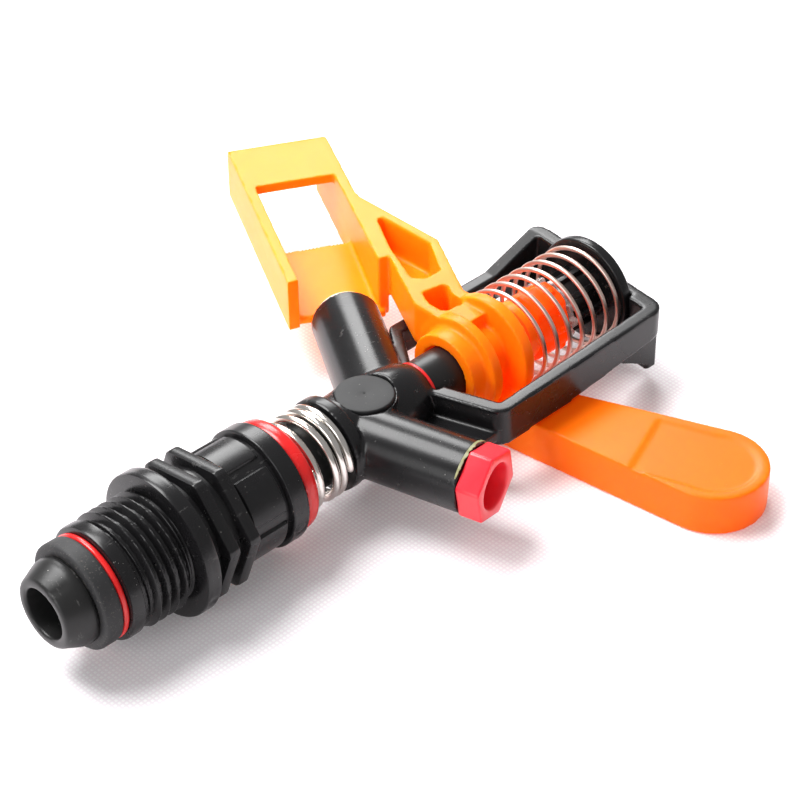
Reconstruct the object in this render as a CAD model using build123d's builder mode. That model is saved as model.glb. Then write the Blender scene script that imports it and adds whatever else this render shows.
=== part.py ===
"""Plastic impact sprinkler, lying on its side, built from its separate pieces.

Frame: X runs along the stem from the inlet nose to the end of the bridge,
Z is up, and the origin is on the stem axis at the flange face that seats on
the riser. The bridge lies flat in the XY plane and the arm is at its stop.
All lengths are in millimetres.
"""

import os
from math import cos, radians, sin

from build123d import *

os.makedirs("parts", exist_ok=True)

# ---- sleeve
thread_r = 10.48            # G 1/2 male thread, 20.955 over the crests
thread_root_r = 9.32
thread_pitch = 1.814
thread_turns = 5
sleeve_front = -12.8        # open end of the sleeve, ahead of the thread
lead_ring_end = -10.3
lead_ring_r = 10.2
flange_r = 13.0
flange_t = 2.9
hex_r = 12.7                # across-corner radius of the two wrench plates
hex_t = 2.3
hex_starts = (5.3, 9.6)
hex_turn = 50
barrel_r = 9.8
barrel_end = 20.2
panel_r = 10.3              # raised panels round the barrel
panel_x = (12.4, 19.4)
panel_count = 6
panel_arc = 50
ring_r = 10.9               # bearing ring at the outlet end of the sleeve
ring_end = 23.7
spigot_r = 8.6

# ---- stem, seals and swivel spring
stem_r = 6.2
stem_bore_r = 4.5
running_gap = 0.08
nose_tip = -22.7
nose_tip_r = 6.1
nose_r = 7.7
nose_cone_end = -19.0
stem_end = 40.6             # how far the stem reaches into the head
seal_r = 9.4
seal_x = (-17.4, -13.95)
low_washer_r = 9.3
low_washer_x = (-13.95, -12.9)
top_washer_r = 10.3
top_washer_x = (23.75, 26.7)
swivel_wire_r = 0.75
swivel_coil_r = 7.75
swivel_x = (27.6, 35.75)
swivel_coils = 4

# ---- head
spring_flange_x = (36.6, 39.3)
spring_flange_r = 8.6
head_neck_r = 7.2
hub_x = 46.0
hub_r = 7.6
plug_center = (45.9, -0.6)
plug_r = 5.2                # round core plug on top of the hub
plug_z = (5.6, 6.7)
tube_bore_r = 4.3
front_tube = {"x": 50.3, "turn": 30.6, "side": 1, "r": 6.4, "length": 28.0}
rear_tube = {"x": 41.9, "turn": 15.5, "side": -1, "r": 6.3, "length": 24.6}
boss_end = 58.5
boss_r = 5.3
neck_washer_end = 59.1
spacer_r = 5.0
spacer_end = 72.0
pin_r = 1.5
pin_x = (55.4, 107.2)

# ---- bridge frame
rail_half = 18.2            # outside half width of the window frame
rail_w = 2.8
rail_z = (-4.2, 3.2)
low_rail_z = (-6.4, -1.0)   # the arm crosses this side, so it is cut down
ramp_x = (94.8, 107.0)
end_wall_x = (104.4, 107.6)
wall_skew = 2.0             # the far end of the wall stands this much further out, the near end as much in
near_taper = 1.2            # the near rail closes in by this much towards the end wall
base_z = -13.0              # lowest level of flange and arm bar
foot_half = 15.6
foot_z = -10.7              # the foot stops short of that level
foot_toe = (95.0, -5.0)     # where the sloping underside of its side walls starts

# ---- spring cap and toothed ring
cap_disc_x = (101.4, 104.3)
cap_r = 10.3
cap_boss_x = (94.2, 101.4)
cap_boss_r = 5.6
cap_ribs = 8
tooth_ring_x = (92.6, 94.1)
teeth = 12

# ---- arm
collar_r = 7.6
collar_start = 65.6
arm_hole_r = 5.35
arm_hole_end = 72.6
front_wall_x = (69.0, 71.2)
front_wall_r = 9.4
rear_disc_x = (76.0, 78.4)
rear_disc_r = 10.2
core_r = 5.6
core_end = 92.4
bush_r = 3.4
leg_z = (-0.6, 8.0)
bar_z = (base_z, -5.0)
bar_end = (85.1, -45.6)
bar_end_r = 9.8
pocket_floor = 1.6
spoon_turn = 27.9           # long side of the spoon, from +Y towards +X
spoon_corner = (76.6, 25.0)
spoon_length = 45.5
spoon_width = 20.0
spoon_wall = 2.2
spoon_skew = 3.0            # the near end is cut back this far on one side
vane_end = 18.8             # the near vane rises up to here, and the far deck starts past the window
deck_start = 30.3
spoon_low = (-4.8, -2.8)    # lower edge of the inner and the outer wall
arm_wire_r = 0.5
arm_coil_r = 9.2
arm_spring_x = (79.0, 100.7)
arm_coils = 7


def finish(piece, name):
    """Label a finished piece and write its STEP file."""
    piece.part.label = name
    export_step(piece.part, f"parts/{name}.step")


def across(x):
    """Plane square to the stem at station x."""
    return Plane(origin=(x, 0, 0), x_dir=(0, 1, 0), z_dir=(1, 0, 0))


def disc(span, r_out, r_in=0.0, mode=Mode.ADD):
    """Round plate or ring about the stem axis."""
    with BuildSketch(across(span[0])) as ring:
        Circle(r_out)
        if r_in:
            Circle(r_in, mode=Mode.SUBTRACT)
    extrude(ring.sketch, amount=span[1] - span[0], mode=mode)


def turned(points, mode=Mode.ADD):
    """Solid of revolution about the stem axis from (x, radius) corners."""
    with BuildSketch(Plane.XY) as half:
        with BuildLine():
            Polyline(*points, close=True)
        make_face()
    revolve(half.sketch, axis=Axis.X, mode=mode)


def plate(outline, z_span, corner=0.0, mode=Mode.ADD):
    """Flat plate of an (x, y) outline between two heights."""
    with BuildSketch(Plane.XY.offset(z_span[0])) as flat:
        with BuildLine():
            Polyline(*outline, close=True)
        make_face()
        if corner:
            fillet(flat.vertices(), radius=corner)
    extrude(flat.sketch, amount=z_span[1] - z_span[0], mode=mode)


def along_tube(tube, distance):
    """Plane square to a nozzle tube, at a distance from the stem axis."""
    turn = radians(tube["turn"])
    direction = Vector(sin(turn), tube["side"] * cos(turn), 0)
    return Plane(origin=Vector(tube["x"], 0, 0) + direction * distance, x_dir=(0, 0, 1), z_dir=direction)


def tube_disc(tube, span, r_out, r_in=0.0, mode=Mode.ADD):
    """Round plate or ring about a nozzle tube's axis."""
    with BuildSketch(along_tube(tube, span[0])) as ring:
        Circle(r_out)
        if r_in:
            Circle(r_in, mode=Mode.SUBTRACT)
    extrude(ring.sketch, amount=span[1] - span[0], mode=mode)


def tube_cone(tube, span, r_start, r_stop, mode=Mode.SUBTRACT):
    """Tapered round passage on a nozzle tube's axis."""
    with BuildSketch(along_tube(tube, span[0])) as first:
        Circle(r_start)
    with BuildSketch(along_tube(tube, span[1])) as last:
        Circle(r_stop)
    loft([first.sketch, last.sketch], mode=mode)


def coil(span, coils, coil_r, wire_r):
    """Round wire wound on the stem axis, with its ends cut square."""
    with BuildLine() as path:
        Helix(pitch=(span[1] - span[0]) / coils, height=span[1] - span[0], radius=coil_r,
              center=(span[0], 0, 0), direction=(1, 0, 0))
    wire = path.line
    with BuildSketch(Plane(origin=wire @ 0, z_dir=wire % 0)) as section:
        Circle(wire_r)
    sweep(section.sketch, path=wire, is_frenet=True)


# ---- Sleeve: lead ring, thread rings, flange, wrench plates and panelled barrel
thread_start = lead_ring_end + 0.5
sleeve_profile = [(sleeve_front, 0), (sleeve_front, lead_ring_r - 0.4), (sleeve_front + 0.4, lead_ring_r),
                  (lead_ring_end, lead_ring_r), (lead_ring_end, thread_root_r)]
for crest in range(thread_turns):
    foot = thread_start + crest * thread_pitch
    sleeve_profile += [(foot, thread_root_r), (foot + 0.38 * thread_pitch, thread_r),
                       (foot + 0.54 * thread_pitch, thread_r), (foot + 0.92 * thread_pitch, thread_root_r)]
sleeve_profile += [(0, thread_root_r), (0, flange_r - 0.3), (0.3, flange_r), (flange_t - 0.3, flange_r),
                   (flange_t, flange_r - 0.3), (flange_t, barrel_r), (barrel_end, barrel_r),
                   (barrel_end, spigot_r), (ring_end, spigot_r), (ring_end, 0)]

with BuildPart() as threaded_sleeve:
    turned(sleeve_profile)
    for start in hex_starts:
        with BuildSketch(across(start)) as wrench_plate:
            RegularPolygon(hex_r, 6, rotation=hex_turn)
            fillet(wrench_plate.vertices(), radius=1.2)
        extrude(amount=hex_t)
    for number in range(panel_count):
        lift = radians(number * 360 / panel_count)
        side = Plane(origin=(0, 0, 0), x_dir=(1, 0, 0), z_dir=(0, -sin(lift), cos(lift)))
        with BuildSketch(side) as panel:
            with BuildLine():
                Polyline((panel_x[0], barrel_r - 1), (panel_x[0], panel_r), (panel_x[1], panel_r),
                         (panel_x[1], barrel_r - 1), close=True)
            make_face()
        revolve(panel.sketch, axis=Axis.X, revolution_arc=panel_arc)
    disc((sleeve_front - 1, ring_end + 1), stem_r + running_gap, mode=Mode.SUBTRACT)
finish(threaded_sleeve, "threaded_sleeve")

with BuildPart() as bearing_ring:
    turned([(barrel_end + 0.05, spigot_r), (barrel_end + 0.05, ring_r - 0.5), (barrel_end + 0.55, ring_r),
            (ring_end - 0.5, ring_r), (ring_end, ring_r - 0.5), (ring_end, spigot_r)])
finish(bearing_ring, "bearing_ring")

with BuildPart() as upper_thrust_washer:
    disc(top_washer_x, top_washer_r, stem_r + 0.3)
    fillet(upper_thrust_washer.edges().filter_by(GeomType.CIRCLE).group_by(SortBy.LENGTH)[-1], radius=1.0)
finish(upper_thrust_washer, "upper_thrust_washer")

# ---- Stem tube with its flared nose, and the seals that the nose holds up
with BuildPart() as stem_tube:
    turned([(nose_tip, stem_bore_r), (nose_tip, nose_tip_r), (nose_cone_end, nose_r), (seal_x[0], nose_r),
            (seal_x[0], stem_r), (stem_end, stem_r), (stem_end, stem_bore_r)])
    fillet(stem_tube.edges().filter_by(GeomType.CIRCLE).group_by(Axis.X)[0], radius=0.5)
finish(stem_tube, "stem_tube")

with BuildPart() as nose_seal:
    disc(seal_x, seal_r, stem_r)
    fillet(nose_seal.edges().filter_by(GeomType.CIRCLE).group_by(SortBy.LENGTH)[-1], radius=0.4)
finish(nose_seal, "nose_seal")

with BuildPart() as lower_thrust_washer:
    disc(low_washer_x, low_washer_r, stem_r)
    fillet(lower_thrust_washer.edges().filter_by(GeomType.CIRCLE).group_by(SortBy.LENGTH)[-1], radius=0.5)
finish(lower_thrust_washer, "lower_thrust_washer")

with BuildPart() as swivel_spring:
    coil(swivel_x, swivel_coils, swivel_coil_r, swivel_wire_r)
finish(swivel_spring, "swivel_spring")

# ---- Head: spring flange, hub, two nozzle tubes and the boss that holds the pin
with BuildPart() as head_body:
    turned([(spring_flange_x[0], 0), (spring_flange_x[0], spring_flange_r), (spring_flange_x[1] - 0.6,
            spring_flange_r), (spring_flange_x[1], spring_flange_r - 0.6), (spring_flange_x[1], head_neck_r),
            (hub_x, hub_r - 0.2), (hub_x, 0)])
    with Locations((hub_x, 0, 0)):
        Sphere(hub_r)
    with BuildSketch(Plane.XY) as boss:
        with BuildLine():
            Polyline((hub_x, 0), (hub_x, hub_r - 0.4), (hub_x + 3, hub_r - 0.4))
            ThreePointArc((hub_x + 3, hub_r - 0.4), (hub_x + 9.4, boss_r + 1.2), (boss_end, boss_r))
            Polyline((boss_end, boss_r), (boss_end, 0), (hub_x, 0))
        make_face()
    revolve(boss.sketch, axis=Axis.X)
    with BuildSketch(Plane.XY) as plug_rim:
        with Locations(plug_center):
            Circle(plug_r + 0.4)
    extrude(plug_rim.sketch, amount=plug_z[1] - 0.6)
    for tube in (front_tube, rear_tube):
        tube_disc(tube, (0, tube["length"]), tube["r"])
    disc((spring_flange_x[0] - 1, stem_end), stem_r, mode=Mode.SUBTRACT)
    disc((stem_end, hub_x + 3), tube_bore_r, mode=Mode.SUBTRACT)
    for tube in (front_tube, rear_tube):
        tube_disc(tube, (0, tube["length"] + 1), tube_bore_r, mode=Mode.SUBTRACT)
    disc((pin_x[0], boss_end + 1), pin_r, mode=Mode.SUBTRACT)
    # flat-bottomed seat of the core plug, and relief for the washer and spacer
    with BuildSketch(Plane.XY.offset(plug_z[0])) as plug_seat:
        with Locations(plug_center):
            Circle(plug_r + 0.05)
    extrude(plug_seat.sketch, amount=4, mode=Mode.SUBTRACT)
    disc((boss_end, spacer_end), boss_r + 0.15, mode=Mode.SUBTRACT)
finish(head_body, "head_body")

with BuildPart() as hub_plug:
    with BuildSketch(Plane.XY.offset(plug_z[0])):
        with Locations(plug_center):
            Circle(plug_r)
    extrude(amount=plug_z[1] - plug_z[0])
    fillet(hub_plug.edges().group_by(Axis.Z)[-1], radius=0.3)
finish(hub_plug, "hub_plug")

nozzle_seat = front_tube["length"]
with BuildPart() as front_nozzle:
    tube_disc(front_tube, (18.5, nozzle_seat), tube_bore_r)
    tube_disc(front_tube, (nozzle_seat, nozzle_seat + 1.6), 5.5)
    fillet(front_nozzle.edges().filter_by(GeomType.CIRCLE).sort_by(Axis.Y)[-1], radius=0.7)
    tube_cone(front_tube, (18.4, nozzle_seat - 2), 3.6, 1.9)
    tube_disc(front_tube, (nozzle_seat - 2.1, nozzle_seat + 2), 1.9, mode=Mode.SUBTRACT)
finish(front_nozzle, "front_nozzle")

with BuildPart() as flow_straightener:
    tube_disc(front_tube, (7.5, 17.5), tube_bore_r, 3.6)
    with BuildSketch(along_tube(front_tube, 7.5)) as vanes:
        Rectangle(7.6, 0.7)
        Rectangle(0.7, 7.6)
    extrude(vanes.sketch, amount=10)
finish(flow_straightener, "flow_straightener")

hex_seat = rear_tube["length"] + 0.1
hex_face = hex_seat + 4.4
with BuildPart() as rear_nozzle:
    tube_disc(rear_tube, (17.0, hex_seat), tube_bore_r)
    with BuildSketch(along_tube(rear_tube, hex_seat)) as hex_head:
        RegularPolygon(6.7, 6, rotation=12)
        fillet(hex_head.vertices(), radius=0.5)
    extrude(hex_head.sketch, amount=hex_face - hex_seat)
    tube_cone(rear_tube, (hex_face - 7, hex_face + 0.01), 2.3, 4.2)
    tube_disc(rear_tube, (16, hex_face - 6.9), 2.3, mode=Mode.SUBTRACT)
finish(rear_nozzle, "rear_nozzle")

# ---- Pin, its spacer and the thin washer between spacer and boss
with BuildPart() as neck_washer:
    disc((boss_end, neck_washer_end), boss_r, pin_r)
finish(neck_washer, "neck_washer")

with BuildPart() as pin_spacer:
    disc((neck_washer_end, spacer_end), spacer_r, pin_r)
    chamfer(pin_spacer.edges().group_by(Axis.X)[-1].sort_by(SortBy.LENGTH)[-1], length=0.4)
finish(pin_spacer, "pin_spacer")

with BuildPart() as arm_pin:
    disc(pin_x, pin_r)
finish(arm_pin, "arm_pin")

# ---- Bridge frame: two slanted posts, two rails and the end wall with its foot
inside = rail_half - rail_w
near_half = rail_half - near_taper
outer_outline = [(55.2, 0), (61.6, -rail_half), (end_wall_x[1] - wall_skew, -near_half),
                 (end_wall_x[1] + wall_skew, rail_half), (69.6, rail_half), (62.6, 8.5), (58.0, 8.5)]
inner_outline = [(boss_end + 0.1, -boss_r), (60.2, -boss_r), (63.7, -inside),
                 (end_wall_x[0] - wall_skew, near_taper - inside), (end_wall_x[0] + wall_skew, inside),
                 (70.5, inside), (63.3, boss_r), (boss_end + 0.1, boss_r)]
with BuildPart() as bridge_frame:
    with BuildSketch(Plane.XY.offset(low_rail_z[0])) as ring:
        with BuildLine():
            Polyline(*outer_outline, close=True)
        make_face()
        fillet(ring.vertices().sort_by(Axis.Y)[:2], radius=3.5)
        fillet(ring.vertices().group_by(Axis.Y)[-1], radius=2.0)
        with BuildSketch(Plane.XY, mode=Mode.SUBTRACT):
            with BuildLine():
                Polyline(*inner_outline, close=True)
            make_face()
    extrude(amount=rail_z[1] - low_rail_z[0])
    # the far rail and post are lower, and rise again to the end wall by a ramp
    with BuildSketch(Plane.XZ.offset(-rail_half - 1)) as low_side:
        with BuildLine():
            Polyline((50, rail_z[1] + 1), (50, low_rail_z[1]), (ramp_x[0], low_rail_z[1]),
                     (ramp_x[1], rail_z[1]), (ramp_x[1], rail_z[1] + 1), close=True)
        make_face()
    extrude(low_side.sketch, amount=rail_half + 1 - boss_r, mode=Mode.SUBTRACT)
    # the near rail and post have a higher underside that rises towards the end wall
    with BuildSketch(Plane.XZ.offset(rail_half + 1)) as high_side:
        with BuildLine():
            Polyline((50, low_rail_z[0] - 1), (50, rail_z[0]), (80, rail_z[0]), (end_wall_x[1] + 3, -2.2),
                     (end_wall_x[1] + 3, low_rail_z[0] - 1), close=True)
        make_face()
    extrude(high_side.sketch, amount=-(rail_half + 1 - boss_r), mode=Mode.SUBTRACT)
    # foot: the end wall goes on down, with a side wall under each rail whose underside slopes up
    foot_outline = [(end_wall_x[0] - wall_skew + 0.4, -foot_half), (end_wall_x[1] - wall_skew, -foot_half),
                    (end_wall_x[1] + wall_skew, foot_half), (end_wall_x[0] + wall_skew + 0.4, foot_half)]
    plate(foot_outline, (foot_z, rail_z[1]), corner=0.6)
    for side in (foot_half, 1.8 - foot_half):
        with BuildSketch(Plane.XZ.offset(-side)) as side_wall:
            with BuildLine():
                Polyline((end_wall_x[0] + 1, foot_z), foot_toe, (foot_toe[0] - 1.5, -2.6),
                         (end_wall_x[0] + 1, -2.6), close=True)
            make_face()
        extrude(side_wall.sketch, amount=1.8)
    # ledge along the near post, on the side of the rear nozzle tube
    plate([(50.0, 0), (52.6, -2.0), (58.0, -17.2), (62.0, -17.2), (57.0, 0)], (-3.2, -1.2))
    disc((end_wall_x[0] - 3, pin_x[1]), pin_r, mode=Mode.SUBTRACT)
    disc((end_wall_x[0] - 4, cap_disc_x[1] + 0.05), cap_r + 0.25, mode=Mode.SUBTRACT)
    # room for the head, its two nozzle tubes and the spacer
    add(head_body.part, mode=Mode.SUBTRACT)
    for tube in (front_tube, rear_tube):
        tube_disc(tube, (0, tube["length"]), tube["r"], mode=Mode.SUBTRACT)
    disc((40, spacer_end), boss_r + 0.15, mode=Mode.SUBTRACT)
finish(bridge_frame, "bridge_frame")

# ---- Spring cap with its ribbed boss, and the clear toothed ring in front of it
with BuildPart() as spring_cap:
    disc(cap_disc_x, cap_r)
    disc(cap_boss_x, cap_boss_r - 0.8)
    with BuildSketch(across(cap_boss_x[0] + 1)) as ribs:
        with PolarLocations(cap_boss_r - 1.0, cap_ribs):
            Rectangle(2.4, 1.3)
    extrude(ribs.sketch, amount=cap_boss_x[1] - cap_boss_x[0] - 1)
    disc((cap_boss_x[0] - 1, cap_disc_x[1] + 1), pin_r, mode=Mode.SUBTRACT)
finish(spring_cap, "spring_cap")

with BuildPart() as toothed_ring:
    disc(tooth_ring_x, 5.2, pin_r)
    with BuildSketch(across(tooth_ring_x[0])) as tooth_row:
        with PolarLocations(5.5, teeth):
            Rectangle(1.6, 1.1)
    extrude(tooth_row.sketch, amount=tooth_ring_x[1] - tooth_ring_x[0])
finish(toothed_ring, "toothed_ring")

# ---- Arm: hub between two walls, pocketed leg, box spoon and counterweight bar
spoon_dir = radians(spoon_turn)


def spoon_point(u, v):
    """Point u along the spoon and v across it, from its inner near corner."""
    return (spoon_corner[0] + u * sin(spoon_dir) - v * cos(spoon_dir),
            spoon_corner[1] + u * cos(spoon_dir) + v * sin(spoon_dir))


def spoon_section(u, heights):
    """Four-cornered section of the spoon's near vane, square to its length."""
    corner = spoon_point(u, 0)
    station = Plane(origin=(corner[0], corner[1], 0), x_dir=(-cos(spoon_dir), sin(spoon_dir), 0),
                    z_dir=(sin(spoon_dir), cos(spoon_dir), 0))
    with BuildSketch(station) as section:
        with BuildLine():
            Polyline((1.0, heights[0]), (spoon_width - 1.0, heights[1]),
                     (spoon_width - 1.0, heights[1] + pocket_floor),
                     (1.0, heights[0] + pocket_floor), close=True)
        make_face()
    return section.sketch


leg_outline = [spoon_point(0, 1.0), spoon_point(0, 0), (69.2, 10.9), (69.0, 0), (78.4, 0), (78.4, 7.5),
               (80.9, 12.0), (86.8, 22.4), (86.8, 43.0), spoon_point(23, 0), spoon_point(23, 1.0)]
outer_pocket = [(78.6, 26.6), (74.6, 17.2), (76.0, 15.4), (79.9, 15.0), (84.9, 22.8), (84.9, 37.6)]
inner_pocket = [(72.6, 12.4), (71.3, 9.4), (71.3, 5.4), (75.9, 5.0), (76.2, 8.6), (77.8, 11.4)]
with BuildPart() as arm:
    disc((collar_start, arm_hole_end), collar_r)
    disc(front_wall_x, front_wall_r)
    disc(rear_disc_x, rear_disc_r)
    disc((collar_start + 1, core_end), core_r)
    plate(leg_outline, leg_z)
    # counterweight bar: tapered sides that run tangent into a round end
    tangent = [(75.4, -47.0), (94.1, -41.8)]
    plate([(69.2, 4.0), (69.6, -5.0), tangent[0], tangent[1], (78.4, -5.0), (78.4, 4.0)], bar_z)
    with BuildSketch(Plane.XY.offset(bar_z[0])) as round_end:
        with Locations(bar_end):
            Circle(bar_end_r)
    extrude(round_end.sketch, amount=bar_z[1] - bar_z[0])
    # web that carries the leg down to the bar between the two walls
    plate([(69.2, 8.6), (69.2, -4.0), (78.2, -4.0), (78.2, 8.6)], (-9.0, leg_z[0] + 1.0))
    # spoon: two side walls, the far deck at the top and the near vane below
    near_left = -spoon_skew
    plate([spoon_point(0, 0), spoon_point(spoon_length, 0), spoon_point(spoon_length, spoon_wall),
           spoon_point(-0.3, spoon_wall)], (spoon_low[0], leg_z[1]))
    plate([spoon_point(near_left, spoon_width), spoon_point(near_left + 0.3, spoon_width - spoon_wall),
           spoon_point(spoon_length, spoon_width - spoon_wall), spoon_point(spoon_length, spoon_width)],
          (spoon_low[1], leg_z[1]))
    plate([spoon_point(spoon_length, 0.5), spoon_point(spoon_length, spoon_width - 0.5),
           spoon_point(deck_start, spoon_width - 0.5), spoon_point(deck_start, 0.5)],
          (leg_z[1] - 2.0, leg_z[1]))
    loft([spoon_section(-1.4, spoon_low), spoon_section(vane_end, (-1.9, -1.9))])
    far_edge = arm.edges().filter_by(lambda e: abs(e.length - spoon_width) < 0.6).group_by(Axis.Z)[-1]
    fillet(far_edge.sort_by(Axis.Y)[-1], radius=1.5)
    # pockets in the leg, open to the top
    for pocket in (outer_pocket, inner_pocket):
        plate(pocket, (leg_z[0] + pocket_floor, leg_z[1] + 1), corner=0.8, mode=Mode.SUBTRACT)
    # shallow blank panel in the face of the bar's round end
    with BuildSketch(Plane.XY.offset(bar_z[1] - 0.3)) as recess:
        with Locations(bar_end):
            Circle(bar_end_r - 1.9)
        with Locations(Location((bar_end[0] - 2.4, bar_end[1] + 6.2, 0), 21)):
            Rectangle(2 * (bar_end_r - 2.2), 12.0)
    extrude(recess.sketch, amount=1, mode=Mode.SUBTRACT)
    disc((collar_start - 1, arm_hole_end), arm_hole_r, mode=Mode.SUBTRACT)
    disc((arm_hole_end - 0.1, core_end + 1), bush_r, mode=Mode.SUBTRACT)
finish(arm, "arm")

with BuildPart() as arm_bush:
    disc((arm_hole_end + 0.2, core_end), bush_r, pin_r + running_gap)
finish(arm_bush, "arm_bush")

with BuildPart() as arm_spring:
    coil(arm_spring_x, arm_coils, arm_coil_r, arm_wire_r)
finish(arm_spring, "arm_spring")
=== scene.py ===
# Plastic impact sprinkler lying on its side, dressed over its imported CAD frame.
from math import cos, pi, radians, sin

import bmesh
import bpy
import numpy as np
from mathutils import Matrix, Vector


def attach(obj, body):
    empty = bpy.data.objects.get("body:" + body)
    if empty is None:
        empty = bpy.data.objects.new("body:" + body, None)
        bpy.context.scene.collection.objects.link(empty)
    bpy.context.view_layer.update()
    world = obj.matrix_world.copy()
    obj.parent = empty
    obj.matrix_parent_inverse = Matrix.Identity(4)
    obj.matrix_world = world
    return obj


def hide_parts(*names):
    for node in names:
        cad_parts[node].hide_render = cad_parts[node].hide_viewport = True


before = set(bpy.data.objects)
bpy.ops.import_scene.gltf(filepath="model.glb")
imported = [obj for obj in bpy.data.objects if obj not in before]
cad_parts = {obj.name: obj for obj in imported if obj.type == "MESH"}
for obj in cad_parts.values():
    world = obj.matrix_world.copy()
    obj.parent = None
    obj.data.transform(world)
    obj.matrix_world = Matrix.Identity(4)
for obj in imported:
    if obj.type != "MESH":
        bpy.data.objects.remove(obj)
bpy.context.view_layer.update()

mm = 0.001
scene = bpy.context.scene
stemAxis = {"origin": (0, 0, 0), "axis": (1, 0, 0), "first": (0, 1, 0)}
print("frame loaded")


def smoothStep(low, high, value):
    # cubic step from 0 at low to 1 at high
    t = np.clip((value - low) / (high - low), 0, 1)
    return t * t * (3 - 2 * t)


def makePiece(name, grid, body, material, replaced=(), wrapRows=True, sharp=35):
    # closed surface over a rows x columns x 3 grid of points in mm; columns always wrap round
    rows, columns = grid.shape[:2]
    mesh = bpy.data.meshes.new(name)
    index = np.arange(rows * columns).reshape(rows, columns)
    lower = index if wrapRows else index[:-1]
    upper = np.roll(index, -1, axis=0) if wrapRows else index[1:]
    quads = np.stack([lower, np.roll(lower, -1, axis=1), np.roll(upper, -1, axis=1), upper], axis=-1)
    mesh.from_pydata((grid.reshape(-1, 3) * mm).tolist(), [], quads.reshape(-1, 4).tolist())
    shell = bmesh.new()
    shell.from_mesh(mesh)
    bmesh.ops.remove_doubles(shell, verts=shell.verts, dist=1e-7)
    bmesh.ops.recalc_face_normals(shell, faces=shell.faces)
    shell.to_mesh(mesh)
    shell.free()
    piece = bpy.data.objects.new(name, mesh)
    scene.collection.objects.link(piece)
    return dress(piece, body, material, replaced, sharp)


def dress(piece, body, material, replaced=(), sharp=35):
    # smooth shading with sharp edges, a material, and the places the frame wants to know
    mesh = piece.data
    mesh.shade_smooth()
    mesh.set_sharp_from_angle(angle=radians(sharp))
    mesh.materials.clear()
    mesh.materials.append(material)
    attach(piece, body)
    if replaced:
        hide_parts(*replaced)
    return piece


def turnedGrid(stations, radii, place, columns):
    # radius against station turned about a line; either may be one value a row or rows x columns
    axis = Vector(place["axis"]).normalized()
    first = Vector(place["first"])
    first = (first - axis * first.dot(axis)).normalized()
    second = axis.cross(first)
    angle = np.arange(columns) * 2 * pi / columns
    around = np.outer(np.cos(angle), first) + np.outer(np.sin(angle), second)
    rows = len(stations)
    stations = np.broadcast_to(np.asarray(stations, float).reshape(rows, -1), (rows, columns))
    radii = np.broadcast_to(np.asarray(radii, float).reshape(rows, -1), (rows, columns))
    origin = np.asarray(place["origin"], float)
    return origin + stations[..., None] * np.asarray(axis) + radii[..., None] * around


def roundedProfile(corners, cut, steps=4):
    # closed (station, radius) outline whose corners become quadratic arcs that start `cut` before each corner
    corners = np.asarray(corners, float)
    before = np.roll(corners, 1, axis=0) - corners
    after = np.roll(corners, -1, axis=0) - corners
    lengths = np.linalg.norm(before, axis=1), np.linalg.norm(after, axis=1)
    cuts = np.broadcast_to(np.asarray(cut, float), len(corners))
    reach = np.minimum(cuts, 0.45 * np.minimum(*lengths))[:, None]
    start = corners + before / lengths[0][:, None] * reach
    end = corners + after / lengths[1][:, None] * reach
    t = np.linspace(0, 1, steps)[None, :, None]
    arcs = (1 - t) ** 2 * start[:, None] + 2 * t * (1 - t) * corners[:, None] + t ** 2 * end[:, None]
    return arcs.reshape(-1, 2)


def ringCorners(look):
    # square section, with extra stations along its outer face where a shape needs them
    stations = (look["start"], *look.get("between", ()), look["end"])
    outer = [(station, look["outer"]) for station in stations]
    return [(look["start"], look["inner"]), *outer, (look["end"], look["inner"])]


def turnedRing(name, look, place=stemAxis):
    # a rounded outline turned about a line; look["shape"](angle, station, radius) adds to the radius
    outline = roundedProfile(look.get("corners") or ringCorners(look), look["cut"])
    columns = look.get("columns", 160)
    angle = np.arange(columns) * 2 * pi / columns
    radii = np.repeat(outline[:, 1:], columns, axis=1)
    if "shape" in look:
        radii = radii + look["shape"](angle[None, :], outline[:, :1], radii)
    grid = turnedGrid(outline[:, 0], radii, place, columns)
    return makePiece(name, grid, look["body"], finish[look["finish"]], look["nodes"])


def wireCoil(name, look, body, material, replaced):
    # round wire along a helix about the stem: station(turn) is interpolated, so coils open and close
    perTurn, sides, smoothing = 72, 20, 31
    turns = np.linspace(0, look["turns"], int(look["turns"] * perTurn))
    stations = np.interp(turns, look["atTurn"], look["station"])
    kernel = np.hanning(smoothing) / np.hanning(smoothing).sum()
    stations = np.convolve(np.pad(stations, smoothing // 2, mode="edge"), kernel, mode="valid")
    angle = 2 * pi * turns + radians(look["startAngle"])
    radius = look["coilRadius"]
    centre = np.stack([stations, radius * np.cos(angle), radius * np.sin(angle)], axis=1)
    tangent = np.gradient(centre, axis=0)
    tangent /= np.linalg.norm(tangent, axis=1)[:, None]
    outward = np.stack([0 * angle, np.cos(angle), np.sin(angle)], axis=1)
    binormal = np.cross(tangent, outward)
    # the ends close in a rounded tip
    step = np.arange(len(turns))
    rim = np.clip(np.minimum(step, step[::-1]) / 2.5, 0, 1)
    wire = look["wire"] * np.sqrt(1 - (1 - rim) ** 2)
    around = (np.arange(sides) * 2 * pi / sides)[None, :, None]
    ring = outward[:, None] * np.cos(around) + binormal[:, None] * np.sin(around)
    return makePiece(name, centre[:, None] + wire[:, None, None] * ring, body, material, replaced,
                     wrapRows=False, sharp=80)


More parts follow.
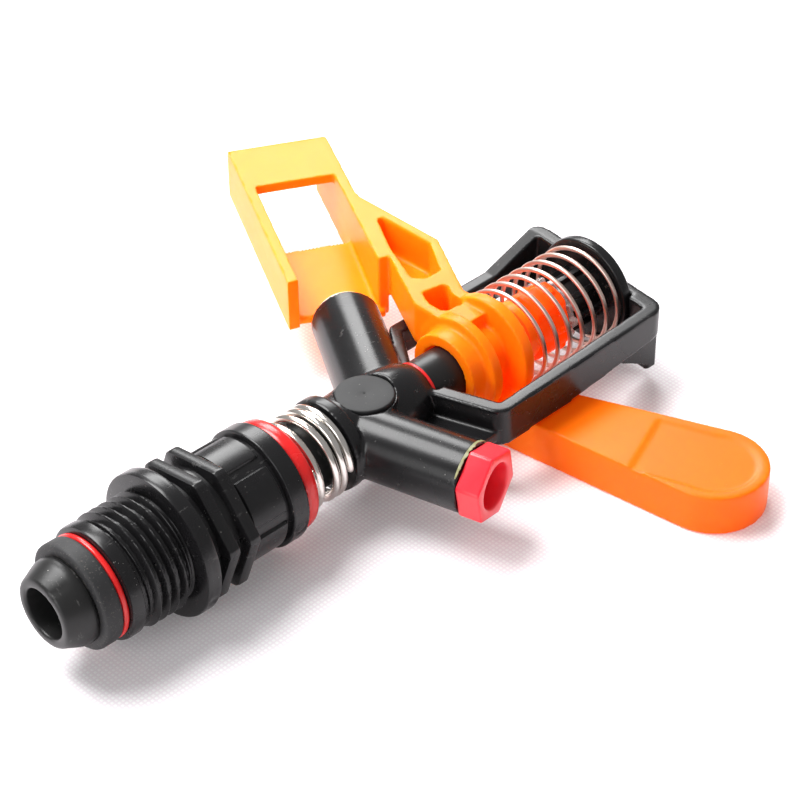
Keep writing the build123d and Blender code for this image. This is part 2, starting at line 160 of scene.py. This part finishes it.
def mouldedCopy(name, nodes, look, body, material):
    # CAD solids joined, remeshed on a fine grid and relaxed, which rounds their edges and joins
    shell = bmesh.new()
    for node in nodes:
        shell.from_mesh(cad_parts[node].data)
    bmesh.ops.remove_doubles(shell, verts=shell.verts, dist=1e-6)
    mesh = bpy.data.meshes.new(name)
    shell.to_mesh(mesh)
    shell.free()
    piece = bpy.data.objects.new(name, mesh)
    scene.collection.objects.link(piece)
    remesh = piece.modifiers.new("grid", "REMESH")
    remesh.mode = "VOXEL"
    remesh.voxel_size = look["voxel"] * mm
    relax = piece.modifiers.new("relax", "SMOOTH")
    relax.factor = 0.5
    relax.iterations = look["relax"]
    thin = piece.modifiers.new("thin", "DECIMATE")
    thin.ratio = look["keep"]
    depsgraph = bpy.context.evaluated_depsgraph_get()
    final = bpy.data.meshes.new_from_object(piece.evaluated_get(depsgraph))
    piece.modifiers.clear()
    piece.data = final
    return dress(piece, body, material, nodes, sharp=40)


class Wire:
    # a socket that can be used in an expression
    def __init__(self, paint, socket):
        self.paint, self.socket = paint, socket

    def maths(self, operation, first, second=0.0):
        return self.paint.node("ShaderNodeMath", {"operation": operation}, {0: first, 1: second})

    def __add__(self, other):
        return self.maths("ADD", self, other)

    def __radd__(self, other):
        return self.maths("ADD", other, self)

    def __sub__(self, other):
        return self.maths("SUBTRACT", self, other)

    def __rsub__(self, other):
        return self.maths("SUBTRACT", other, self)

    def __mul__(self, other):
        return self.maths("MULTIPLY", self, other)

    def __rmul__(self, other):
        return self.maths("MULTIPLY", other, self)


class Paint:
    # one material's node tree
    def __init__(self, name):
        self.material = bpy.data.materials.new(name)
        self.material.use_nodes = True
        self.tree = self.material.node_tree
        self.shader = self.tree.nodes["Principled BSDF"]
        self.place = self.node("ShaderNodeTexCoord", output="Object")

    def node(self, kind, settings=None, values=None, output=0):
        # a node of any type: settings first, then socket values or links
        made = self.tree.nodes.new(kind)
        for key, value in (settings or {}).items():
            if key == "stops":
                for number, (position, colour) in enumerate(value):
                    stops = made.color_ramp.elements
                    stop = stops[number] if number < len(stops) else stops.new(position)
                    stop.position, stop.color = position, colour
            else:
                setattr(made, key, value)
        for key, value in (values or {}).items():
            self.put(made.inputs[key], value)
        return Wire(self, made.outputs[output])

    def put(self, socket, value):
        if isinstance(value, Wire):
            self.tree.links.new(value.socket, socket)
        else:
            socket.default_value = value

    def set(self, **values):
        # shader sockets by name, with underscores for spaces
        for key, value in values.items():
            self.put(self.shader.inputs[key.replace("_", " ")], value)

    def noise(self, scale, detail=2.0, rough=0.5, stretch=(1, 1, 1)):
        place = self.node("ShaderNodeMapping", {}, {"Vector": self.place, "Scale": stretch})
        return self.node("ShaderNodeTexNoise", {}, {"Vector": place, "Scale": scale, "Detail": detail,
                                                    "Roughness": rough})

    def axis(self, number):
        # one of the object's own coordinates
        return self.node("ShaderNodeSeparateXYZ", {}, {"Vector": self.place}, number)

    def band(self, value, low, high):
        # 0 below low, 1 above high
        return self.node("ShaderNodeMapRange", {"interpolation_type": "SMOOTHSTEP"},
                         {"Value": value, "From Min": low, "From Max": high})

    def blend(self, factor, first, second):
        # colour from first to second
        mixed = self.tree.nodes.new("ShaderNodeMix")
        mixed.data_type = "RGBA"
        for number, value in ((0, factor), (6, first), (7, second)):
            self.put(mixed.inputs[number], value)
        return Wire(self, mixed.outputs[2])

    def bump(self, height, strength, distance):
        # distance in mm
        return self.node("ShaderNodeBump", {}, {"Height": height, "Strength": strength,
                                                "Distance": distance * mm})


def colour(red, green, blue):
    return (red, green, blue, 1.0)


def blackPlastic(name, look):
    # moulded black: broad sheen changes, fine pebble, thin scuffs and pale dust specks
    paint = Paint(name)
    broad = paint.noise(90, 3)
    pebble = paint.noise(look["pebble"], 2, 0.6)
    scuff = paint.band(paint.noise(260, 4, 0.7, look["grain"]), 0.62, 0.72)
    specks = paint.band(paint.noise(2600, 1), 0.745, 0.775) * paint.band(paint.noise(140, 2), 0.52, 0.62)
    dark, pale = [colour(*[part * gain for part in look["colour"]]) for gain in (0.8, 1.35)]
    base = paint.blend(broad, dark, pale)
    base = paint.blend(scuff * look["scuffs"], base, colour(0.16, 0.155, 0.15))
    base = paint.blend(specks * look["dust"], base, colour(0.62, 0.6, 0.56))
    rough = look["rough"] + 0.16 * (broad - 0.5) + 0.22 * scuff * look["scuffs"] + 0.3 * specks
    paint.set(Base_Color=base, Roughness=rough, IOR=1.5, Specular_IOR_Level=0.34,
              Normal=paint.bump(pebble + 0.5 * scuff, look["bump"], 0.04))
    return paint.material


def redPlastic(name, look):
    # glossy dyed plastic with a soft depth and faint flow marks
    paint = Paint(name)
    flow = paint.noise(120, 3, 0.55, (1, 2.2, 1))
    fine = paint.noise(1500, 2)
    base = paint.blend(flow, colour(*look["deep"]), colour(*look["bright"]))
    paint.set(Base_Color=base, Roughness=look["rough"] + 0.14 * (flow - 0.5), IOR=1.5,
              Subsurface_Weight=look["depth"], Subsurface_Radius=(1.0, 0.12, 0.08),
              Subsurface_Scale=1.6 * mm, Normal=paint.bump(fine + flow, 0.12, 0.04))
    return paint.material


def orangePlastic(name, look):
    # slightly translucent orange: painted shade deepening towards one end and painted light towards the
    # other, cloudy, satin gloss, fine marks, and a painted red glow in the shade
    paint = Paint(name)
    cloud = paint.noise(36, 3, 0.5)
    flow = paint.noise(180, 3, 0.6, (1, 1, 2.4))
    scratch = paint.band(paint.noise(420, 5, 0.75, (1, 6, 1)), 0.66, 0.72)
    # painted shade to painted light along the object's Y, from shadeAt to litAt, broken up by the cloud
    reach = paint.band(paint.axis(1), look["shadeAt"] * mm, look["litAt"] * mm)
    base = paint.blend(reach * 0.8 + 0.35 * (cloud - 0.2), colour(*look["deep"]), colour(*look["bright"]))
    base = paint.blend(scratch * 0.18, base, colour(1.0, 0.5, 0.16))
    rough = 0.36 + 0.12 * (flow - 0.5) + 0.15 * scratch
    # the emission is a painted red glow that lifts the shade, standing in for light passing through the
    # plastic
    paint.set(Base_Color=base, Roughness=rough, IOR=1.46, Specular_IOR_Level=0.2, Subsurface_Weight=0.5,
              Subsurface_Radius=(1.0, 0.22, 0.02), Subsurface_Scale=5.0 * mm,
              Emission_Color=colour(1.0, 0.045, 0.0), Emission_Strength=look["paintedGlow"],
              Normal=paint.bump(flow + 0.6 * paint.noise(1400, 2), 0.1, 0.05))
    return paint.material


def steelWire(name, look):
    # drawn wire: fine lengthwise lines and warm patches
    paint = Paint(name)
    tint = paint.noise(110, 3)
    lines = paint.noise(1600, 3, 0.6, (3, 1, 1))
    base = paint.blend(tint, colour(*look["cool"]), colour(*look["warm"]))
    paint.set(Base_Color=base, Metallic=1.0, Roughness=look["rough"] + 0.14 * (lines - 0.5),
              Normal=paint.bump(lines, 0.1, 0.02))
    return paint.material


def palePlastic(name, look):
    # ivory or clear moulding with faint clouds
    paint = Paint(name)
    cloud = paint.noise(200, 3)
    base = paint.blend(cloud, colour(*look["deep"]), colour(*look["bright"]))
    paint.set(Base_Color=base, Roughness=look["rough"] + 0.1 * (cloud - 0.5), IOR=1.49,
              Transmission_Weight=look["clear"], Subsurface_Weight=look["depth"],
              Subsurface_Scale=1.2 * mm, Normal=paint.bump(paint.noise(1200, 2), 0.08, 0.03))
    return paint.material


def rubberCompound(name):
    # matt rubber with grit pressed into it
    paint = Paint(name)
    grit = paint.band(paint.noise(2200, 2, 0.7), 0.6, 0.68)
    base = paint.blend(grit * 0.6, colour(0.016, 0.016, 0.017), colour(0.11, 0.1, 0.09))
    paint.set(Base_Color=base, Roughness=0.62 + 0.2 * grit, IOR=1.48,
              Normal=paint.bump(paint.noise(900, 4, 0.7) + grit, 0.5, 0.08))
    return paint.material


def flashPlastic(name):
    # thin flash, blotched from black to straw
    paint = Paint(name)
    blotch = paint.noise(900, 3)
    paint.set(Base_Color=paint.blend(blotch, colour(0.05, 0.05, 0.03), colour(0.5, 0.48, 0.22)),
              Roughness=0.5 + 0.2 * (blotch - 0.5), Normal=paint.bump(blotch, 0.3, 0.05))
    return paint.material


def whiteCloth(name, scale):
    # white cloth: a fine square weave whose darker threads are painted a little pink, a painted tint for the
    # pinkish shade
    paint = Paint(name)
    threads = [paint.node("ShaderNodeTexWave", {"wave_type": "BANDS", "bands_direction": side},
                          {"Vector": paint.place, "Scale": scale, "Distortion": 0.4}, 1) for side in "XY"]
    weave = threads[0] * threads[1]
    paint.set(Base_Color=paint.blend(weave, colour(0.8, 0.76, 0.79), colour(0.97, 0.95, 0.96)),
              Roughness=0.7 + 0.1 * (paint.noise(12, 2) - 0.5), Normal=paint.bump(weave, 0.3, 0.1),
              Emission_Color=colour(1.0, 0.95, 0.97), Emission_Strength=0.12)
    return paint.material


blackLooks = {
    "gloss": {"colour": (0.0075, 0.0072, 0.0078), "rough": 0.27, "pebble": 700, "bump": 0.12,
              "scuffs": 0.25, "dust": 0.5, "grain": (1, 3, 3)},
    "satin": {"colour": (0.011, 0.0108, 0.0108), "rough": 0.36, "pebble": 1100, "bump": 0.2,
              "scuffs": 0.35, "dust": 0.6, "grain": (3, 1, 1)},
    "pebbled": {"colour": (0.013, 0.013, 0.0135), "rough": 0.55, "pebble": 1800, "bump": 0.5,
                "scuffs": 0.1, "dust": 0.3, "grain": (1, 1, 1)},
}
colourLooks = {
    "washer": {"deep": (0.56, 0.006, 0.008), "bright": (0.82, 0.02, 0.018), "rough": 0.26, "depth": 0.15},
    "nozzle": {"deep": (0.8, 0.012, 0.03), "bright": (0.95, 0.03, 0.05), "rough": 0.3, "depth": 0.4},
    "ivory": {"deep": (0.78, 0.7, 0.5), "bright": (0.86, 0.8, 0.64), "rough": 0.35, "clear": 0.0,
              "depth": 0.3},
    "clear": {"deep": (0.9, 0.88, 0.84), "bright": (0.96, 0.95, 0.93), "rough": 0.2, "clear": 0.75,
              "depth": 0.0},
    # orange: colours run from painted shade at shadeAt to painted light at litAt; paintedGlow is a painted
    # red glow in the shade
    "orange": {"deep": (1.0, 0.135, 0.002), "bright": (1.0, 0.3, 0.004), "shadeAt": -46, "litAt": 40,
               "paintedGlow": 0.22},
    # shadedOrange: a darker copy of the orange for the core inside the spring, painted shade, with painted
    # light towards one side
    "shadedOrange": {"deep": (1.0, 0.08, 0.001), "bright": (1.0, 0.13, 0.002), "shadeAt": -8, "litAt": 8,
                   "paintedGlow": 0.5},
}
steelLooks = {
    "steel": {"cool": (0.72, 0.71, 0.7), "warm": (0.78, 0.7, 0.62), "rough": 0.2},
    "copperedSteel": {"cool": (0.62, 0.49, 0.44), "warm": (0.8, 0.62, 0.54), "rough": 0.4},
    "pin": {"cool": (0.6, 0.6, 0.61), "warm": (0.66, 0.65, 0.63), "rough": 0.28},
}
finish = {
    "gloss": blackPlastic("blackGloss", blackLooks["gloss"]),
    "satin": blackPlastic("blackSatin", blackLooks["satin"]),
    "pebbled": blackPlastic("blackPebbled", blackLooks["pebbled"]),
    "rubber": rubberCompound("blackRubber"),
    "washer": redPlastic("redWasher", colourLooks["washer"]),
    "nozzle": redPlastic("redNozzle", colourLooks["nozzle"]),
    "ivory": palePlastic("ivoryPlastic", colourLooks["ivory"]),
    "clear": palePlastic("clearPlastic", colourLooks["clear"]),
    "orange": orangePlastic("orangePlastic", colourLooks["orange"]),
    # the core's material is the shaded copy of the orange: painted shade
    "shadedOrange": orangePlastic("orangeCoreShaded", colourLooks["shadedOrange"]),
    "steel": steelWire("springSteel", steelLooks["steel"]),
    "copperedSteel": steelWire("armSpringSteel", steelLooks["copperedSteel"]),
    "pin": steelWire("pinSteel", steelLooks["pin"]),
}
print("finishes made")

# stations and radii in mm; an edge is a list of (way in from the end, inset) steps
sleeve = {"front": -12.8, "leadRadius": 10.2, "leadEnd": -10.3, "root": 9.32, "crest": 10.48, "pitch": 1.814,
          "threadEnd": -0.7, "threadRows": 150, "barrel": 9.8, "barrelEnd": 20.2, "spigot": 8.6, "end": 23.7,
          "bore": 6.28, "columns": 360}
flange = {"radius": 12.99, "dimple": 0.3, "dimpleAt": 205, "fillet": ((-0.3, 0.0), (-0.02, 0.25)),
          "front": ((0, 0.5), (0.12, 0.12), (0.4, 0.0)), "middle": (1.0, 1.9),
          "back": ((2.5, 0.0), (2.8, 0.12), (2.9, 0.5)), "foot": ((2.92, 0.2), (3.2, 0.0))}
hexPlates = {"spans": ((5.3, 7.6), (9.6, 11.9)), "corner": 12.7, "turn": 50, "cornerCut": 0.28, "step": 0.15,
             "edge": ((0, 0.45), (0.12, 0.12), (0.45, 0))}
panels = {"span": (12.4, 19.4), "lift": 0.5, "pitch": 60, "width": 50.0, "ramp": 1.6, "step": 0.05,
          "edge": ((0, 0.4), (0.2, 1))}


def threadRadius(station, angle):
    # a trapezoid wave of station / pitch less angle / turn, faded in and out at the two ends
    phase = (station - sleeve["leadEnd"]) / sleeve["pitch"] - angle / (2 * pi)
    wave = np.clip(1.14 - 1.5 * (1 - 2 * np.abs(phase % 1 - 0.5)), 0, 1)
    fade = smoothStep(0.02, 0.3, phase) * smoothStep(-0.25, -1.1, station)
    burr = 0.05 * np.sin(37 * angle + 5 * station) * np.sin(11 * angle) * (wave > 0.9)
    return sleeve["root"] + (sleeve["crest"] - sleeve["root"]) * wave * fade - np.abs(burr)


def hexRadius(angle, inset):
    # distance to a hexagon's flats, held inside a circle so that its corners are rounded
    flat = hexPlates["corner"] * cos(radians(30)) - inset
    turn = (angle - radians(hexPlates["turn"])) % radians(60) - radians(30)
    return np.minimum(flat / np.cos(turn), hexPlates["corner"] - hexPlates["cornerCut"] - inset)


def panelRadius(angle, share):
    # six raised panels with a narrow slot between each pair, raised by a share of their lift
    along = np.degrees(angle) % panels["pitch"]
    width, ramp = panels["width"], panels["ramp"]
    raised = smoothStep(0.0, ramp, along) * smoothStep(width, width - ramp, along)
    return sleeve["barrel"] + share * panels["lift"] * raised


def makeSleeve():
    s, columns = sleeve, sleeve["columns"]
    angle = np.arange(columns) * 2 * pi / columns
    dent = flange["dimple"] * np.exp(-((angle - radians(flange["dimpleAt"])) / 0.1) ** 2)
    rows = [(s["front"], s["leadRadius"] - 0.5), (s["front"] + 0.15, s["leadRadius"] - 0.15),
            (s["front"] + 0.5, s["leadRadius"]), (s["leadEnd"] - 0.2, s["leadRadius"]),
            (s["leadEnd"], s["leadRadius"] - 0.2)]
    for station in np.linspace(s["leadEnd"], s["threadEnd"], s["threadRows"]):
        rows.append((station, threadRadius(station, angle)))
    rows += [(station, s["root"] + rise) for station, rise in flange["fillet"]]
    rows += [(station, flange["radius"] - inset) for station, inset in flange["front"]]
    rows += [(station, flange["radius"] - dent) for station in flange["middle"]]
    rows += [(station, flange["radius"] - inset) for station, inset in flange["back"]]
    rows += [(station, s["barrel"] + rise) for station, rise in flange["foot"]]
    for start, end in hexPlates["spans"]:
        rows.append((start - hexPlates["step"], s["barrel"]))
        rows += [(start + way, hexRadius(angle, inset)) for way, inset in hexPlates["edge"]]
        rows += [(end - way, hexRadius(angle, inset)) for way, inset in reversed(hexPlates["edge"])]
        rows.append((end + hexPlates["step"], s["barrel"]))
    start, end = panels["span"]
    rows.append((start - panels["step"], s["barrel"]))
    rows += [(start + way, panelRadius(angle, share)) for way, share in panels["edge"]]
    rows += [(end - way, panelRadius(angle, share)) for way, share in reversed(panels["edge"])]
    rows += [(end + panels["step"], s["barrel"]), (s["barrelEnd"], s["barrel"]),
             (s["barrelEnd"] + 0.01, s["spigot"]), (s["end"], s["spigot"]), (s["end"] + 0.001, s["bore"]),
             (s["front"] - 0.001, s["bore"])]
    radii = np.array([radius * np.ones(columns) for station, radius in rows])
    grid = turnedGrid([station for station, radius in rows], radii, stemAxis, columns)
    return makePiece("sleeveBody", grid, "sleeve", finish["gloss"], ["threaded_sleeve"])


def ringMark(angle, station, radius):
    # C-shaped ejector mark on the outer face of the bearing ring
    away = np.hypot((np.degrees(angle) - 196) * 0.2, (station - 21.9) * 1.1)
    ring = np.exp(-((away - 1.3) / 0.3) ** 2) * (np.degrees(angle) > 186)
    return np.where(radius > 10, -0.22 * ring, 0)


def upperWave(angle, station, radius):
    # the washer's rim is a little out of round
    return 0.06 * np.sin(3 * angle) * (radius > 9)


def lowerWave(angle, station, radius):
    return 0.05 * np.sin(2 * angle + 1) * (radius > 9)


bearingRing = {"start": 20.25, "end": 23.7, "between": (21.0, 21.9, 22.8), "inner": 8.6, "outer": 10.9,
               "cut": 0.55, "columns": 300, "shape": ringMark, "body": "sleeve", "finish": "gloss",
               "slot": "black_plastic", "nodes": ["bearing_ring"]}
upperWasher = {"start": 23.75, "end": 26.7, "inner": 6.5, "outer": 10.3, "cut": 1.1, "shape": upperWave,
               "body": "sleeve", "finish": "washer", "slot": "red_plastic", "nodes": ["upper_thrust_washer"]}
noseSeal = {"start": -17.4, "end": -13.95, "inner": 6.2, "outer": 9.4, "cut": 0.7, "body": "head",
            "finish": "rubber", "slot": "black_rubber", "nodes": ["nose_seal"]}
lowerWasher = {"start": -13.94, "end": -12.9, "inner": 6.2, "outer": 9.3, "cut": 0.4, "shape": lowerWave,
               "body": "head", "finish": "washer", "slot": "red_plastic", "nodes": ["lower_thrust_washer"]}
makeSleeve()
turnedRing("bearingRing", bearingRing)
turnedRing("upperWasher", upperWasher)
turnedRing("noseSeal", noseSeal)
turnedRing("lowerWasher", lowerWasher)
print("sleeve and seals made")

stem = {"tip": -22.7, "tipRadius": 6.1, "coneEnd": -19.1, "noseRadius": 7.7, "noseEnd": -17.4, "radius": 6.2,
        "bore": 4.5, "end": 40.6}


def noseNick(angle, station, radius):
    # a small knock in the rim of the nose
    spot = np.exp(-((np.degrees(angle) - 118) / 5) ** 2) * np.exp(-((station - stem["tip"]) / 0.5) ** 2)
    return -0.25 * spot * (radius > 5)


stemTube = {"corners": [(stem["tip"], stem["bore"]), (stem["tip"], stem["tipRadius"]),
                        (stem["coneEnd"], stem["noseRadius"]), (stem["noseEnd"], stem["noseRadius"]),
                        (stem["noseEnd"], stem["radius"]), (stem["end"], stem["radius"]),
                        (stem["end"], stem["bore"])],
            "cut": 0.55, "columns": 200, "shape": noseNick, "body": "head", "finish": "satin",
            "slot": "black_plastic", "nodes": ["stem_tube"]}
swivelCoil = {"turns": 4.1, "wire": 0.75, "startAngle": 150, "atTurn": (0, 1.0, 2.1, 3.1, 4.1),
              "station": (27.55, 28.5, 32.5, 34.15, 35.72), "coilRadius": 7.75}
armCoil = {"turns": 7.2, "wire": 0.43, "startAngle": 190, "atTurn": (0, 0.3, 6.8, 7.2),
           "station": (79.0, 79.8, 101.1, 101.75), "coilRadius": 9.2}
turnedRing("stemTube", stemTube)
wireCoil("swivelSpring", swivelCoil, "head", finish["steel"], ["swivel_spring"])
wireCoil("armSpring", armCoil, "arm", finish["copperedSteel"], ["arm_spring"])
print("stem and springs made")

headGrid = {"voxel": 0.3, "relax": 4, "keep": 0.8}
mouldedCopy("headMoulding", ["head_body", "bridge_frame"], headGrid, "head", finish["gloss"])
longTube = {"x": 50.3, "turn": 30.6, "side": 1, "length": 28.0}
shortTube = {"x": 41.9, "turn": 15.5, "side": -1, "length": 24.6}
frontEnd, rearEnd = longTube["length"], shortTube["length"] + 0.1
hexHead = {"corner": 6.7, "turn": 12, "height": 4.4, "cornerCut": 0.12}
rearFace = rearEnd + hexHead["height"]


def tubePlace(tube):
    turn = radians(tube["turn"])
    return {"origin": (tube["x"], 0, 0), "axis": (sin(turn), tube["side"] * cos(turn), 0), "first": (0, 0, 1)}


def hexShape(angle, station, radius):
    # outer radius past the tube's end follows a rounded hexagon
    turn = (angle - radians(hexHead["turn"])) % radians(60) - radians(30)
    flat = radius * cos(radians(30)) / np.cos(turn)
    outside = (station > rearEnd - 0.2) & (radius > 5)
    return np.where(outside, np.minimum(flat, radius - hexHead["cornerCut"]) - radius, 0)


frontNozzle = {"corners": [(18.5, 3.6), (18.5, 4.28), (frontEnd, 4.28), (frontEnd, 5.5),
                           (frontEnd + 1.6, 5.5), (frontEnd + 1.6, 1.9), (frontEnd - 2, 1.9)],
               "cut": 0.6, "body": "head", "finish": "ivory", "slot": "ivory_plastic",
               "nodes": ["front_nozzle"]}
rearNozzle = {"corners": [(17.0, 2.3), (17.0, 4.28), (rearEnd - 0.3, 4.28), (rearEnd, 4.5),
                          (rearEnd, hexHead["corner"]), (rearFace, hexHead["corner"]), (rearFace, 4.2),
                          (rearFace - 0.8, 4.0), (rearFace - 4.5, 3.4), (rearFace - 7, 2.3)],
              "cut": 0.4, "columns": 240, "shape": hexShape, "body": "head", "finish": "nozzle",
              "slot": "red_nozzle", "nodes": ["rear_nozzle"]}
plugPlace = {"origin": (45.9, -0.6, 0), "axis": (0, 0, 1), "first": (1, 0, 0)}
corePlug = {"corners": [(5.6, 0.0), (5.6, 5.2), (6.7, 5.2), (6.68, 3.0), (6.66, 0.0)], "cut": 0.3,
            "body": "head", "finish": "pebbled", "slot": "black_plastic", "nodes": ["hub_plug"]}
neckWasher = {"start": 58.5, "end": 59.1, "inner": 1.5, "outer": 5.3, "cut": 0.2, "body": "head",
              "finish": "washer", "slot": "red_plastic", "nodes": ["neck_washer"]}
pinSpacer = {"start": 59.1, "end": 72.0, "inner": 1.5, "outer": 5.0, "cut": 0.4, "body": "head",
             "finish": "satin", "slot": "black_plastic", "nodes": ["pin_spacer"]}
turnedRing("frontNozzle", frontNozzle, tubePlace(longTube))
turnedRing("rearNozzle", rearNozzle, tubePlace(shortTube))
turnedRing("corePlug", corePlug, plugPlace)
turnedRing("neckWasher", neckWasher)
turnedRing("pinSpacer", pinSpacer)

flash = {"from": -62, "to": 58, "steps": 90, "seed": 7, "radius": 6.25, "setBack": 0.5, "low": 0.15,
         "high": 0.75, "footWall": 0.22, "topWall": 0.16, "lean": 0.35}


def flashEdge():
    # a torn rim of moulding flash: an arc of thin wall whose height wanders
    steps = flash["steps"]
    turns = np.linspace(radians(flash["from"]), radians(flash["to"]), steps)
    rng = np.random.default_rng(flash["seed"])
    ragged = np.convolve(rng.random(120), np.hanning(7) / 3, mode="same")[:steps]
    rise = flash["low"] + flash["high"] * ragged * np.sin(np.linspace(0, pi, steps)) ** 0.5
    place = tubePlace(shortTube)
    axis, first = np.array(place["axis"]), np.array(place["first"])
    second = np.cross(axis, first)
    outward = np.outer(np.cos(turns), first) + np.outer(np.sin(turns), second)
    along = shortTube["length"] - flash["setBack"]
    base = np.array(place["origin"]) + outward * flash["radius"] + axis * along
    lean = flash["lean"] * (ragged - 0.4)[:, None] * outward
    top = lean + axis * rise[:, None]
    offsets = [0 * outward, flash["footWall"] * outward, flash["topWall"] * outward + top, top]
    grid = np.stack([base + offset for offset in offsets], axis=1)
    ends = grid.mean(axis=1, keepdims=True)
    grid[0], grid[-1] = ends[0], ends[-1]
    makePiece("tubeFlash", grid, "head", flashPlastic("flashPlastic"), wrapRows=False)


flashEdge()
print("head made")


def capRibs(angle, station, radius):
    # eight ribs on the boss ahead of the disc
    rib = smoothStep(0.55, 0.8, np.cos(8 * angle))
    return np.where((radius > 4) & (radius < 6) & (station < 101.8), 0.9 * rib, 0)


def ringTeeth(angle, station, radius):
    return np.where(radius > 4, smoothStep(-0.2, 0.4, np.cos(12 * angle)), 0)


springCap = {"corners": [(94.2, 1.5), (94.2, 4.7), (95.4, 4.7), (98.4, 4.7), (102.1, 4.7), (102.2, 7.4),
                         (102.2, 10.3), (104.3, 10.3), (104.3, 1.5)],
             "cut": 0.5, "columns": 240, "shape": capRibs, "body": "head", "finish": "gloss",
             "slot": "black_plastic", "nodes": ["spring_cap"]}
toothedRing = {"start": 92.6, "end": 94.1, "inner": 1.5, "outer": 5.2, "cut": 0.2, "columns": 240,
               "shape": ringTeeth, "body": "head", "finish": "clear", "slot": "clear_plastic",
               "nodes": ["toothed_ring"]}
turnedRing("springCap", springCap)
turnedRing("toothedRing", toothedRing)
hiddenFinish = {"arm_pin": "pin", "flow_straightener": "satin", "arm_bush": "satin"}
for node, look in hiddenFinish.items():
    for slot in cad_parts[node].material_slots:
        slot.material = finish[look]


def coreStuds(angle, station, radius):
    # broad lobes along the core, a groove, and a row of studs near its end
    lobes = 0.9 * smoothStep(-0.5, 0.4, np.cos(3 * angle + 0.6)) * smoothStep(84.6, 85.4, station)
    groove = 0.45 * np.exp(-((station - 83.6) / 1.1) ** 2)
    studs = 0.5 * smoothStep(0.3, 0.8, np.cos(10 * angle)) * np.exp(-((station - 90.6) / 0.8) ** 4)
    return np.where(radius > 5, lobes - groove + studs, 0)


armGrid = {"voxel": 0.32, "relax": 6, "keep": 0.8}
# the core wears the shaded orange, painted shade for its place inside the spring
armCore = {"corners": [(78.3, 5.2), (78.3, 5.7), *[(x, 5.7) for x in np.arange(79.5, 91.9, 0.6)],
                       (92.3, 5.6), (92.3, 5.2)],
           "cut": 0.25, "columns": 216, "shape": coreStuds, "body": "arm", "finish": "shadedOrange",
           "slot": "orange_plastic", "nodes": []}
mouldedCopy("armMoulding", ["arm"], armGrid, "arm", finish["orange"])
turnedRing("armCore", armCore)
print("arm made")

# floor level in mm, half width in metres
floorSet = {"level": -13.0, "half": 1.2, "weave": 390}
lamps = {
    "key": {"place": (-0.12, 0.4, 0.75), "size": 0.5, "power": 12.0},
    "side": {"place": (-0.75, -0.1, 0.35), "size": 0.4, "power": 2.5},
    "back": {"place": (0.5, 0.6, 0.55), "size": 0.42, "power": 6.0},
}
lampAim = (0.05, 0, 0)
skyStrength = 0.36
cameraSet = {"aim": (54.87, 0.04, 0.0), "azimuth": -44.08, "elevation": 37.41, "roll": -0.52,
             "distance": 399.6, "lens": 103.5, "sensor": 36, "clip": 0.01}


def makeFloor():
    half, level = floorSet["half"], floorSet["level"] * mm
    mesh = bpy.data.meshes.new("floor")
    corners = [(-half, -half, level), (half, -half, level), (half, half, level), (-half, half, level)]
    mesh.from_pydata(corners, [], [(0, 1, 2, 3)])
    floor = bpy.data.objects.new("floor", mesh)
    scene.collection.objects.link(floor)
    mesh.materials.append(whiteCloth("floorWhite", floorSet["weave"]))


def addLamp(name, look):
    data = bpy.data.lights.new(name, "AREA")
    data.size, data.energy = look["size"], look["power"]
    lamp = bpy.data.objects.new(name, data)
    lamp.location = look["place"]
    towards = Vector(lampAim) - Vector(look["place"])
    lamp.rotation_euler = towards.to_track_quat("-Z", "Y").to_euler()
    scene.collection.objects.link(lamp)


def addCamera(look):
    # azimuth 0 looks along +Y; elevation lifts the camera; roll turns it about its own axis
    azimuth, elevation = radians(look["azimuth"]), radians(look["elevation"])
    back = Vector((sin(azimuth) * cos(elevation), -cos(azimuth) * cos(elevation), sin(elevation)))
    data = bpy.data.cameras.new("camera")
    data.sensor_width, data.lens, data.clip_start = look["sensor"], look["lens"], look["clip"]
    camera = bpy.data.objects.new("camera", data)
    turn = back.to_track_quat("Z", "Y").to_matrix() @ Matrix.Rotation(radians(look["roll"]), 3, "Z")
    place = Vector(look["aim"]) * mm + back * look["distance"] * mm
    camera.matrix_world = Matrix.Translation(place) @ turn.to_4x4()
    scene.collection.objects.link(camera)
    scene.camera = camera


makeFloor()
for lampName, lampLook in lamps.items():
    addLamp(lampName, lampLook)
addCamera(cameraSet)
scene.world = bpy.data.worlds.new("studio")
scene.world.use_nodes = True
sky = scene.world.node_tree.nodes["Background"]
sky.inputs["Color"].default_value = colour(1, 1, 1)
sky.inputs["Strength"].default_value = skyStrength
scene.view_settings.view_transform = "Standard"

print("stage set")
